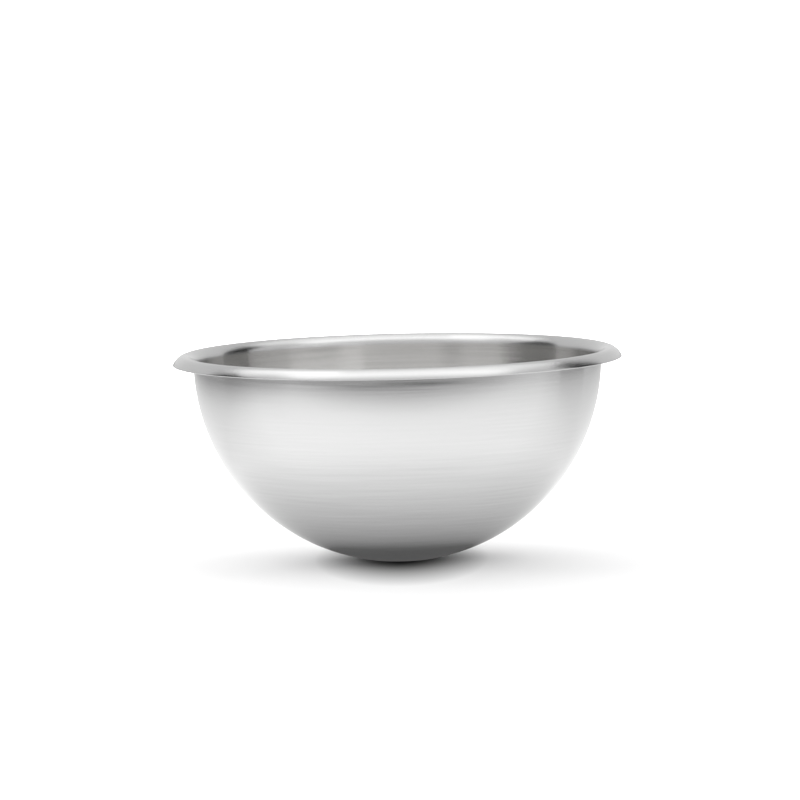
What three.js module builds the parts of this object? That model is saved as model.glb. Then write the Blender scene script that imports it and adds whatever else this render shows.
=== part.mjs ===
// A hemispherical stainless steel mixing bowl, spun from one disc of sheet. The wall is half of a
// sphere, pressed flat at its lowest point so that the bowl stands, and its mouth turns outwards and
// down into an open lip that a hand or a hook can hold. The wall, the flat and the lip are one
// unbroken sheet, so the bowl is one solid.
// Millimetres, +Z up, origin at the centre of the standing flat.
import * as THREE from "three";

// Driving dimensions
const INNER_RADIUS = 120; // inside of the hemisphere, for a bowl of 240 mm
const SHEET = 1; // thickness of the sheet, everywhere
const FLAT_RADIUS = 18; // outer edge of the standing flat
const CREST_RADIUS = 6.2; // upper face of the turn that the rim makes outwards
const CREST_DROP = 2; // the turn's centre lies this far under the sphere's centre
const CREST_END = THREE.MathUtils.degToRad(50); // where the turn opens out into the lip
const LIP_RADIUS = 11.5; // upper face of the lip's flatter curve
const LIP_END = THREE.MathUtils.degToRad(24); // where the lip is trimmed

// Faceting
const SIDES = 72; // around the axis
const WALL_STEPS = 18; // up the wall
const CREST_STEPS = 9;
const LIP_STEPS = 3;

// Worked out from the above. Angles are from the horizontal.
const OUTER_RADIUS = INNER_RADIUS + SHEET;
const CENTRE_HEIGHT = Math.sqrt(OUTER_RADIUS ** 2 - FLAT_RADIUS ** 2); // of the sphere, over the flat
const OUTER_FLAT_EDGE = -Math.asin(CENTRE_HEIGHT / OUTER_RADIUS);
const INNER_FLAT_EDGE = -Math.asin((CENTRE_HEIGHT - SHEET) / INNER_RADIUS);
const WALL_END = -Math.asin(CREST_DROP / (INNER_RADIUS + CREST_RADIUS)); // the wall meets the turn
const CREST_START = Math.PI + WALL_END; // the same place, seen from the turn's centre

const sphereCentre = new THREE.Vector2(0, CENTRE_HEIGHT);
const crestCentre = pointOn(sphereCentre, INNER_RADIUS + CREST_RADIUS, WALL_END);
const lipCentre = pointOn(crestCentre, CREST_RADIUS - LIP_RADIUS, CREST_END);

// The point of a section, as (distance from the axis, height), at an angle on a circle.
function pointOn(centre, radius, angle) {
  return new THREE.Vector2(centre.x + radius * Math.cos(angle), centre.y + radius * Math.sin(angle));
}

// The points of an arc, both ends included.
function arc(centre, radius, from, to, steps) {
  return Array.from({ length: steps + 1 }, (_, i) => {
    return pointOn(centre, radius, from + ((to - from) * i) / steps);
  });
}

// Out over the flat, up the outside of the wall and along the underside of the rim to its trimmed
// edge. An arc's first point is left out where the arc before it ends there.
function outerFace() {
  return [
    new THREE.Vector2(0, 0),
    ...arc(sphereCentre, OUTER_RADIUS, OUTER_FLAT_EDGE, WALL_END, WALL_STEPS),
    ...arc(crestCentre, CREST_RADIUS - SHEET, CREST_START, CREST_END, CREST_STEPS).slice(1),
    ...arc(lipCentre, LIP_RADIUS - SHEET, CREST_END, LIP_END, LIP_STEPS).slice(1),
  ];
}

// Back from the trimmed edge over the crest, down the inside of the wall and in over the flat.
function innerFace() {
  return [
    ...arc(lipCentre, LIP_RADIUS, LIP_END, CREST_END, LIP_STEPS),
    ...arc(crestCentre, CREST_RADIUS, CREST_END, CREST_START, CREST_STEPS).slice(1),
    ...arc(sphereCentre, INNER_RADIUS, WALL_END, INNER_FLAT_EDGE, WALL_STEPS).slice(1),
    new THREE.Vector2(0, SHEET),
  ];
}

function brushedSteel() {
  return new THREE.MeshStandardMaterial({ color: 0xc8c8c6, roughness: 0.32, metalness: 1 });
}

function bowl() {
  const sheet = new THREE.LatheGeometry([...outerFace(), ...innerFace()], SIDES);
  const mesh = new THREE.Mesh(sheet.rotateX(Math.PI / 2), brushedSteel());
  mesh.name = "bowl";
  return mesh;
}

const model = new THREE.Group();
model.add(bowl());

export default model;
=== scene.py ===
"""A brushed steel mixing bowl in a white studio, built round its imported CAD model. Metres, +Z up."""
import math
from collections import namedtuple

import bpy
import numpy as np
from mathutils import Matrix, Vector


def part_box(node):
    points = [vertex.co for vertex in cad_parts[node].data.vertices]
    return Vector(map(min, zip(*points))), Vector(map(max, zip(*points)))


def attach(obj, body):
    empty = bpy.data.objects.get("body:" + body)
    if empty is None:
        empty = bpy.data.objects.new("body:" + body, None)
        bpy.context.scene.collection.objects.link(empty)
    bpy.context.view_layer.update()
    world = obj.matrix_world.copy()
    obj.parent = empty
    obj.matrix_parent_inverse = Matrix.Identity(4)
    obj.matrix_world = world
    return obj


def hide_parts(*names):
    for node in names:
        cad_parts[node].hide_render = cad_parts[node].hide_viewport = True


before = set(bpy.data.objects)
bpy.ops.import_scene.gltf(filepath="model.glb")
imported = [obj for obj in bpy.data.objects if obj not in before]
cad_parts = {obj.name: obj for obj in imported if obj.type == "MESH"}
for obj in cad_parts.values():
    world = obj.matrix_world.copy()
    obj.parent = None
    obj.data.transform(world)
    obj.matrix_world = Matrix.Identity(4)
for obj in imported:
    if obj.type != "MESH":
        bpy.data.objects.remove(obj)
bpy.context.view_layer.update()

# The sheet's section, as in the CAD model
INNER_RADIUS = 0.120
SHEET = 0.001
FLAT_RADIUS = 0.018
CREST_RADIUS = 0.0062
CREST_DROP = 0.002
CREST_END = math.radians(50)
LIP_RADIUS = 0.0115
LIP_END = math.radians(24)

# What the real sheet has besides
FLAT_BEND = 0.03  # radius of the outer face, where the flat turns into the wall
EDGE_ROUND = 0.0003  # the trimmed edge, deburred
SIDES = 384

# How many steps each arc of the section is cut into
BEND_STEPS = 6
WALL_STEPS = 60
UNDER_STEPS = 22
TOP_STEPS = 24
LIP_STEPS = 7
EDGE_STEPS = 4
FLAT_RINGS = (0.35, 0.7)  # rings of points in the flat, as parts of its radius

# Camera: where it stands and what it takes in
CAMERA_ELEVATION = math.radians(5.2)
CAMERA_ROLL = math.radians(1.3)
CAMERA_DISTANCE = 4.0
VIEW_WIDTH = 1.78  # of the picture, in widths of the bowl
AIM_RIGHT = 0.006  # of the picture's centre from the sphere's, in widths of the bowl
AIM_DOWN = 0.0943
SENSOR = 36.0  # mm
SIGHT = 100.0  # how far the camera sees

# The floor and the backdrop, which only the camera sees
FLOOR_REACH = 12.0  # half the floor's side, and the backdrop's radius; the other views draw nothing beyond about 20 m
FLOOR = 0.94  # colour of the floor
FLOOR_LIGHT_FROM = (0.3, 1.5)  # the distances from the bowl where the floor's own light starts and is full
PAINTED_SHADOW = (0.04, 0.11, 1.0)  # half width, depth and height of the shadow painted into the floor round the foot
PAINTED_SHADOW_EDGE = (0.2, 1.3)  # where the painted shadow starts to fade and where it ends, in those half sizes
PAINTED_SHADOW_DEPTH = 0.08  # how much of the floor's colour is left in the painted shadow
BACKDROP_SIDES = 64
BACKDROP_FOOT = -1.0
BACKDROP = 1.1  # brightness

# What the steel mirrors: the room, and a pool of light on the floor
ROOM = 0.8
POOL = 1.5
POOL_REACH = 40.0
POOL_HEIGHT = -0.0005  # just under the floor
POOL_PAINTED_SHADOW = (0.045, 0.18, 0.01)  # the bowl's shadow painted into the pool: from nearly dark to full, out from the axis, and what is left there
POOL_PAINTED_SHADOW_CURVE = 0.5  # the power that the painted shadow's rise is taken to
# Two places that the pool changes between, and what is left of it at each, where it isn't none and all
POOL_FAR = (0.3, 2.0, 1.0, 0.3)  # out from the axis
POOL_BACK = (-0.1, 0.1, 1.0, 0.8)  # along Y
POOL_FRONT = (-0.8, -0.3)
POOL_RIGHT = (-0.1, 0.9, 1.0, 0.8)  # along X
POOL_LEFT = (-1.2, -0.4)

OUTER_RADIUS = INNER_RADIUS + SHEET
CENTRE_HEIGHT = math.sqrt(OUTER_RADIUS**2 - FLAT_RADIUS**2)
low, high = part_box("bowl")
BOWL_WIDTH = high.x - low.x


# --- the section of the sheet ---------------------------------------------------------------

def point_on(centre, radius, angle):
    """A point of the section, as (distance from the axis, height)."""
    return (centre[0] + radius * math.cos(angle), centre[1] + radius * math.sin(angle))


def arc(centre, radius, start, end, steps):
    """Points of the section along an arc, both its ends among them."""
    return [point_on(centre, radius, start + (end - start) * i / steps) for i in range(steps + 1)]


def section():
    """The closed section from the axis out along the outer face and back along the inner one.

    Returns its points and, for each stretch between two points, the name of its region."""
    sphere = (0.0, CENTRE_HEIGHT)
    wall_end = -math.asin(CREST_DROP / (INNER_RADIUS + CREST_RADIUS))
    crest = point_on(sphere, INNER_RADIUS + CREST_RADIUS, wall_end)
    crest_start = math.pi + wall_end
    lip = point_on(crest, CREST_RADIUS - LIP_RADIUS, CREST_END)
    reach = OUTER_RADIUS - FLAT_BEND
    bend = (math.sqrt(reach**2 - (CENTRE_HEIGHT - FLAT_BEND) ** 2), FLAT_BEND)
    bend_end = -math.acos(bend[0] / reach)
    lip_under = LIP_RADIUS - SHEET
    under_end = LIP_END + EDGE_ROUND / lip_under
    top_end = LIP_END + EDGE_ROUND / LIP_RADIUS
    under_corner = point_on(lip, lip_under + EDGE_ROUND, under_end)
    top_corner = point_on(lip, LIP_RADIUS - EDGE_ROUND, top_end)
    trim = LIP_END - math.pi / 2
    flat = [bend[0] * part for part in (0, *FLAT_RINGS)]
    stretches = [
        ("outside", [(radius, 0.0) for radius in flat]),
        ("outside", arc(bend, FLAT_BEND, -math.pi / 2, bend_end, BEND_STEPS)),
        ("outside", arc(sphere, OUTER_RADIUS, bend_end, wall_end, WALL_STEPS)[1:]),
        ("rim", arc(crest, CREST_RADIUS - SHEET, crest_start, CREST_END, UNDER_STEPS)[1:]),
        ("rim", arc(lip, lip_under, CREST_END, under_end, LIP_STEPS)[1:]),
        ("edge", arc(under_corner, EDGE_ROUND, under_end + math.pi, trim + math.tau, EDGE_STEPS)[1:]),
        ("edge", arc(top_corner, EDGE_ROUND, trim, top_end, EDGE_STEPS)),
        ("rim", arc(lip, LIP_RADIUS, top_end, CREST_END, LIP_STEPS)[1:]),
        ("rim", arc(crest, CREST_RADIUS, CREST_END, crest_start, TOP_STEPS)[1:]),
        ("inside", arc(sphere, INNER_RADIUS, wall_end, bend_end, WALL_STEPS)[1:]),
        ("inside", arc(bend, FLAT_BEND - SHEET, bend_end, -math.pi / 2, BEND_STEPS)[1:]),
        ("inside", [(radius, SHEET) for radius in reversed(flat)]),
    ]
    points = [p for _, run in stretches for p in run]
    regions = [name for name, run in stretches for _ in run][1:]
    return points, regions


# The steel of each region: colour, roughness and strength of the brushed lines
REGIONS_STEEL = {
    "outside": ((0.58, 0.58, 0.58), 0.16, 1.0),
    "rim": ((0.6, 0.6, 0.6), 0.24, 0.6),
    "edge": ((0.62, 0.62, 0.62), 0.22, 0.6),
    "inside": ((0.6, 0.595, 0.585), 0.22, 0.8),
}
REGIONS = list(REGIONS_STEEL)

# Lines that run round the axis: how far apart they lie along the section, how often they change in a
# radian of turn, how much finer detail they have, and how deep they are
Lines = namedtuple("Lines", "pitch turns detail depth")
FINE = Lines(0.0004, 3.0, 3.0, 0.000003)
COARSE = Lines(0.0018, 1.6, 2.0, 0.000004)
WAVES = Lines(0.03, 1.3, 1.0, 0.00001)

FINE_SHARE = 0.45  # of the fine lines in the steel's tone; the rest is the coarse ones'
TONE_ENDS = (0.3, 0.7)  # the noise's values that count as darkest and lightest
COLOUR_SPREAD = 0.045  # how far the lines take the colour up and down, as a part of it
ROUGHNESS_SPREAD = 0.05


def revolve(name, points, regions):
    """A mesh turned about the Z axis from a section that starts and ends on it, and its vertices.

    Its UV map runs round the axis in U and along the section in V."""
    turn = np.arange(SIDES) * math.tau / SIDES
    ring = np.c_[np.cos(turn), np.sin(turn)]
    rings = [np.c_[ring * r, np.full(SIDES, z)] for r, z in points[1:-1]]
    verts = np.vstack([[(0, 0, points[0][1])], *rings, [(0, 0, points[-1][1])]])
    last = len(verts) - 1
    travelled = along(points)
    height = travelled / travelled[-1]
    faces, places, uvs = [], [], []
    for k, region in enumerate(regions):
        here, there = 1 + (k - 1) * SIDES, 1 + k * SIDES
        before, after = height[k], height[k + 1]
        for j in range(SIDES):
            n = (j + 1) % SIDES
            left, right = j / SIDES, (j + 1) / SIDES
            if k == 0:
                faces.append((0, there + n, there + j))
                uvs += [(left, before), (right, after), (left, after)]
            elif k == len(regions) - 1:
                faces.append((here + j, here + n, last))
                uvs += [(left, before), (right, before), (left, after)]
            else:
                faces.append((here + j, here + n, there + n, there + j))
                uvs += [(left, before), (right, before), (right, after), (left, after)]
            places.append(REGIONS.index(region))
    mesh = bpy.data.meshes.new(name)
    mesh.from_pydata(verts.tolist(), [], faces)
    mesh.uv_layers.new(name="round_and_along").data.foreach_set("uv", np.ravel(uvs))
    mesh.polygons.foreach_set("material_index", places)
    mesh.shade_smooth()
    return mesh, verts


def along(points):
    """Distance travelled along the section at each of its points."""
    steps = [math.dist(a, b) for a, b in zip(points, points[1:])]
    return np.concatenate([[0.0], np.cumsum(steps)])


def mark_brushing(mesh, verts, points):
    """Stores at each vertex what the lines follow: the cosine and sine of its turn round the axis, and its
    distance along the section."""
    travelled = along(points)
    place = np.concatenate([[travelled[0]], np.repeat(travelled[1:-1], SIDES), [travelled[-1]]])
    radius = np.hypot(verts[:, 0], verts[:, 1])
    radius = np.maximum(radius, 1e-9)  # the two vertices on the axis have no turn
    value = np.c_[verts[:, 0] / radius, verts[:, 1] / radius, place].astype(np.float32)
    attribute = mesh.attributes.new("brushing", "FLOAT_VECTOR", "POINT")
    attribute.data.foreach_set("vector", value.ravel())


# --- materials ---------------------------------------------------------------------------------

MIX_A, MIX_B, MIX_RESULT = 6, 7, 2  # the colour sockets of a Mix node


class Nodes:
    """A node tree with short calls for what the materials here need."""

    def __init__(self, material):
        material.use_nodes = True
        self.tree = material.node_tree
        self.shader = self.tree.nodes.get("Principled BSDF")

    def add(self, kind):
        return self.tree.nodes.new("ShaderNode" + kind)

    def put(self, value, socket):
        """Links an output to a socket, or sets the socket to a plain value."""
        if isinstance(value, bpy.types.NodeSocket):
            self.tree.links.new(value, socket)
        else:
            socket.default_value = value

    def calculate(self, kind, operation, *values):
        """Adds a node that works one operation out, and returns its outputs."""
        node = self.add(kind)
        node.operation = operation
        for value, socket in zip(values, node.inputs):
            self.put(value, socket)
        return node.outputs

    def maths(self, operation, a, b):
        return self.calculate("Math", operation, a, b)["Value"]

    def vector_maths(self, operation, a, b):
        return self.calculate("VectorMath", operation, a, b)["Vector"]

    def length(self, vector):
        return self.calculate("VectorMath", "LENGTH", vector)["Value"]

    def ramp(self, value, start, end, first=0.0, last=1.0):
        """Turns start..end of a value into first..last, and holds those two beyond the ends."""
        node = self.add("MapRange")
        sockets = ("Value", "From Min", "From Max", "To Min", "To Max")
        for name, setting in zip(sockets, (value, start, end, first, last)):
            self.put(setting, node.inputs[name])
        return node.outputs["Result"]

    def streaks(self, lines):
        """Noise drawn out round the axis, from 0 to 1."""
        where = self.add("Attribute")
        where.attribute_name = "brushing"
        scale = (lines.turns, lines.turns, 1 / lines.pitch)
        stretched = self.vector_maths("MULTIPLY", where.outputs["Vector"], scale)
        noise = self.add("TexNoise")
        self.put(stretched, noise.inputs["Vector"])
        self.put(1.0, noise.inputs["Scale"])
        self.put(lines.detail, noise.inputs["Detail"])
        return noise.outputs["Fac"]

    def bump(self, height, depth, under=None):
        """A normal bumped by a height from 0 to 1 that stands for up to depth, over another normal."""
        node = self.add("Bump")
        self.put(depth, node.inputs["Distance"])
        self.put(height, node.inputs["Height"])
        if under is not None:
            self.put(under, node.inputs["Normal"])
        return node.outputs["Normal"]


def brushed_steel(name, colour, roughness, grain):
    """Stainless steel brushed in lines round the axis. Its gloss is drawn out along the section, because
    each line is a small cylinder lying round the bowl. grain is how strong the lines are."""
    material = bpy.data.materials.new(name)
    nodes = Nodes(material)
    fine = nodes.streaks(FINE)
    coarse = nodes.streaks(COARSE)
    waves = nodes.streaks(WAVES)
    fine_part = nodes.maths("MULTIPLY", fine, FINE_SHARE)
    coarse_part = nodes.maths("MULTIPLY", coarse, 1 - FINE_SHARE)
    tone = nodes.maths("ADD", fine_part, coarse_part)

    shade = nodes.add("Mix")
    shade.data_type = "RGBA"
    spread = COLOUR_SPREAD * grain
    nodes.put(nodes.ramp(tone, *TONE_ENDS), shade.inputs["Factor"])
    nodes.put(tuple(part * (1 - spread) for part in colour) + (1.0,), shade.inputs[MIX_A])
    nodes.put(tuple(part * (1 + spread) for part in colour) + (1.0,), shade.inputs[MIX_B])

    shader = nodes.shader
    nodes.put(shade.outputs[MIX_RESULT], shader.inputs["Base Color"])
    nodes.put(1.0, shader.inputs["Metallic"])
    spread = ROUGHNESS_SPREAD * grain
    rough = nodes.ramp(tone, *TONE_ENDS, roughness - spread, roughness + spread)
    nodes.put(rough, shader.inputs["Roughness"])
    nodes.put(1.0, shader.inputs["Anisotropic"])
    nodes.put(0.25, shader.inputs["Anisotropic Rotation"])  # a quarter turn
    tangent = nodes.add("Tangent")
    tangent.direction_type = "RADIAL"
    tangent.axis = "Z"
    nodes.put(tangent.outputs["Tangent"], shader.inputs["Tangent"])
    normal = nodes.bump(waves, WAVES.depth)
    normal = nodes.bump(coarse, COARSE.depth * grain, normal)
    normal = nodes.bump(fine, FINE.depth * grain, normal)
    nodes.put(normal, shader.inputs["Normal"])
    return material


def make_bowl():
    """The whole bowl, which is one spun sheet."""
    points, regions = section()
    mesh, verts = revolve("bowl_sheet", points, regions)
    mark_brushing(mesh, verts, points)
    piece = bpy.data.objects.new("bowl_sheet", mesh)
    bpy.context.scene.collection.objects.link(piece)
    for region, (colour, roughness, grain) in REGIONS_STEEL.items():
        mesh.materials.append(brushed_steel(f"steel_{region}", colour, roughness, grain))
    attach(piece, "root")
    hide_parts("bowl")


# --- studio --------------------------------------------------------------------------------------
# Brightness is in units of the white that the camera clips at. Azimuth is in degrees round the bowl,
# 0 towards the camera and growing to the right.

def emitting(name, colour, brightness):
    """A material that only gives light, or with no brightness is black."""
    material = bpy.data.materials.new(name)
    material.use_nodes = True
    nodes, links = material.node_tree.nodes, material.node_tree.links
    emission = nodes.new("ShaderNodeEmission")
    emission.inputs["Color"].default_value = (*colour, 1)
    emission.inputs["Strength"].default_value = brightness
    links.new(emission.outputs[0], nodes["Material Output"].inputs["Surface"])
    return material


def seen_by(thing, camera):
    """Shows a stage piece to the camera alone, or to everything else alone."""
    thing.visible_camera = camera
    for ray in ("diffuse", "glossy", "transmission", "volume_scatter", "shadow"):
        setattr(thing, f"visible_{ray}", not camera)


def make_sheet(name, corners, material, camera):
    """A flat stage piece with four corners."""
    mesh = bpy.data.meshes.new(name)
    mesh.from_pydata(corners, [], [(0, 1, 2, 3)])
    mesh.materials.append(material)
    sheet = bpy.data.objects.new(name, mesh)
    bpy.context.scene.collection.objects.link(sheet)
    seen_by(sheet, camera)


def level_corners(size, height):
    """The corners of a level square with the bowl's axis through its middle. size is half a side."""
    return [(-size, -size, height), (size, -size, height), (size, size, height), (-size, size, height)]


def make_floor():
    """The white floor, which takes the bowl's shadow. Away from the bowl it gives light of its own, so that
    it meets the backdrop without a line. Close to the foot, and mostly in front of it, a shadow is also
    painted into its colour."""
    material = bpy.data.materials.new("white_floor")
    nodes = Nodes(material)
    shader = nodes.shader
    place = nodes.add("TexCoord").outputs["Object"]
    stretched = nodes.vector_maths("DIVIDE", place, PAINTED_SHADOW)
    # painted shadow: the floor's colour darkened in a patch stretched along Y round the foot, on top of the
    # shadow the bowl casts
    shade = nodes.ramp(nodes.length(stretched), *PAINTED_SHADOW_EDGE, PAINTED_SHADOW_DEPTH * FLOOR, FLOOR)
    nodes.put(shade, shader.inputs["Base Color"])
    nodes.put(1.0, shader.inputs["Roughness"])
    nodes.put(0.0, shader.inputs["Specular IOR Level"])
    nodes.put((1.0, 1.0, 1.0, 1.0), shader.inputs["Emission Color"])
    glow = nodes.ramp(nodes.length(place), *FLOOR_LIGHT_FROM)
    nodes.put(glow, shader.inputs["Emission Strength"])
    make_sheet("floor", level_corners(FLOOR_REACH, 0), material, camera=True)


def make_backdrop():
    """A white wall all round, far off, which only the camera sees."""
    n = BACKDROP_SIDES
    corners = [(math.cos(math.tau * i / n), math.sin(math.tau * i / n)) for i in range(n)]
    levels = (BACKDROP_FOOT, FLOOR_REACH)
    verts = [(x * FLOOR_REACH, y * FLOOR_REACH, z) for z in levels for x, y in corners]
    faces = [(i, (i + 1) % n, n + (i + 1) % n, n + i) for i in range(n)]
    mesh = bpy.data.meshes.new("backdrop")
    mesh.from_pydata(verts, [], faces)
    mesh.materials.append(emitting("backdrop", (1, 1, 1), BACKDROP))
    wall = bpy.data.objects.new("backdrop", mesh)
    bpy.context.scene.collection.objects.link(wall)
    seen_by(wall, camera=True)


def make_pool():
    """What the steel mirrors of the floor: a pool of light with the bowl's shadow painted into it as a dark
    patch under the bowl, dimmer behind it, to its right and far off, and ending in front of it and to its
    left, as if at the edge of a table."""
    material = emitting("pool_of_light", (1, 1, 1), POOL)
    nodes = Nodes(material)
    place = nodes.add("TexCoord").outputs["Object"]
    split = nodes.add("SeparateXYZ")
    nodes.put(place, split.inputs["Vector"])
    radius = nodes.length(place)
    x, y = split.outputs["X"], split.outputs["Y"]
    # painted shadow of the bowl: the pool starts nearly dark at the axis
    strength = nodes.maths("POWER", nodes.ramp(radius, *POOL_PAINTED_SHADOW), POOL_PAINTED_SHADOW_CURVE)
    for fall in (
        nodes.ramp(radius, *POOL_FAR),
        nodes.ramp(y, *POOL_FRONT),
        nodes.ramp(y, *POOL_BACK),
        nodes.ramp(x, *POOL_LEFT),
        nodes.ramp(x, *POOL_RIGHT),
        POOL,
    ):
        strength = nodes.maths("MULTIPLY", strength, fall)
    nodes.put(strength, nodes.tree.nodes["Emission"].inputs["Strength"])
    make_sheet("pool_of_light", level_corners(POOL_REACH, POOL_HEIGHT), material, camera=False)


def softbox(name, place, width, height, brightness, lights="steel"):
    """A soft light that faces the bowl. It lights either the steel or the floor."""
    light = bpy.data.lights.new(name, "AREA")
    light.shape = "RECTANGLE"
    light.size, light.size_y = width, height
    light.energy = brightness * math.pi * width * height
    box = bpy.data.objects.new(name, light)
    out = Vector(place) - Vector((0, 0, CENTRE_HEIGHT))
    box.matrix_world = Matrix.Translation(place) @ out.to_track_quat("Z", "Y").to_matrix().to_4x4()
    box.visible_camera = False
    box.visible_glossy = lights == "steel"
    box.visible_diffuse = lights == "floor"
    bpy.context.scene.collection.objects.link(box)


def standing_at(azimuth, distance):
    """A point of the floor, from its azimuth round the bowl and its distance from the axis."""
    turn = math.radians(azimuth)
    return Vector((math.sin(turn), -math.cos(turn), 0)) * distance


def flag(name, start, end, start_height, end_height):
    """A black card that stands on the floor between two places. Its top may slope, so that it fades out."""
    foot, other = standing_at(*start), standing_at(*end)
    up = Vector((0, 0, 1))
    corners = [foot, other, other + up * end_height, foot + up * start_height]
    make_sheet(name, corners, emitting("black", (0, 0, 0), 0), camera=False)


def make_lights():
    """Four soft lights that the steel mirrors, four that light the floor, and two cards that show in the
    steel as dark bands."""
    softbox("overhead", (0.0, 0.0, 1.5), 2.5, 2.0, 0.55)
    softbox("key", (0.0, -0.4, 1.4), 2.4, 0.6, 0.65)
    softbox("left", (-0.75, 0.25, 1.25), 0.5, 1.0, 0.7)
    softbox("strip", (0.8, -0.8, 0.4), 1.0, 0.1, 1.2)
    softbox("above", (0.0, 0.2, 2.0), 2.6, 2.6, 0.35, "floor")
    softbox("back", (-0.6, 2.6, 0.7), 4.0, 1.5, 4.5, "floor")
    softbox("left_of_floor", (-1.1, 0.25, 0.25), 1.2, 0.5, 7.0, "floor")
    softbox("right_of_floor", (1.1, 0.25, 0.25), 1.2, 0.5, 6.0, "floor")
    flag("flag_right", (100, 1.3), (125, 1.3), 1.2, 1.2)
    flag("flag_left", (250, 1.3), (300, 1.3), 1.2, 0.1)


def make_world():
    """The even, pale room round the stage."""
    world = bpy.data.worlds.new("studio")
    world.use_nodes = True
    background = world.node_tree.nodes["Background"]
    background.inputs["Color"].default_value = (1, 1, 1, 1)
    background.inputs["Strength"].default_value = ROOM
    bpy.context.scene.world = world


def make_camera():
    """A long lens that looks along +Y and a little down, and leans a little to one side."""
    forward = Vector((0, math.cos(CAMERA_ELEVATION), -math.sin(CAMERA_ELEVATION)))
    level = Vector((1, 0, 0))
    upright = level.cross(forward)
    right = level * math.cos(CAMERA_ROLL) - upright * math.sin(CAMERA_ROLL)
    up = level * math.sin(CAMERA_ROLL) + upright * math.cos(CAMERA_ROLL)
    aim = Vector((0, 0, CENTRE_HEIGHT)) + (right * AIM_RIGHT - up * AIM_DOWN) * BOWL_WIDTH
    camera = bpy.data.objects.new("camera", bpy.data.cameras.new("camera"))
    camera.data.sensor_width = SENSOR
    camera.data.lens = SENSOR * CAMERA_DISTANCE / (VIEW_WIDTH * BOWL_WIDTH)
    camera.data.clip_end = SIGHT
    rotation = Matrix((right, up, -forward)).transposed()
    camera.matrix_world = Matrix.Translation(aim - forward * CAMERA_DISTANCE) @ rotation.to_4x4()
    bpy.context.scene.collection.objects.link(camera)
    bpy.context.scene.camera = camera


make_camera()
make_bowl()
make_floor()
make_backdrop()
make_pool()
make_lights()
make_world()
bpy.context.scene.view_settings.view_transform = "Standard"
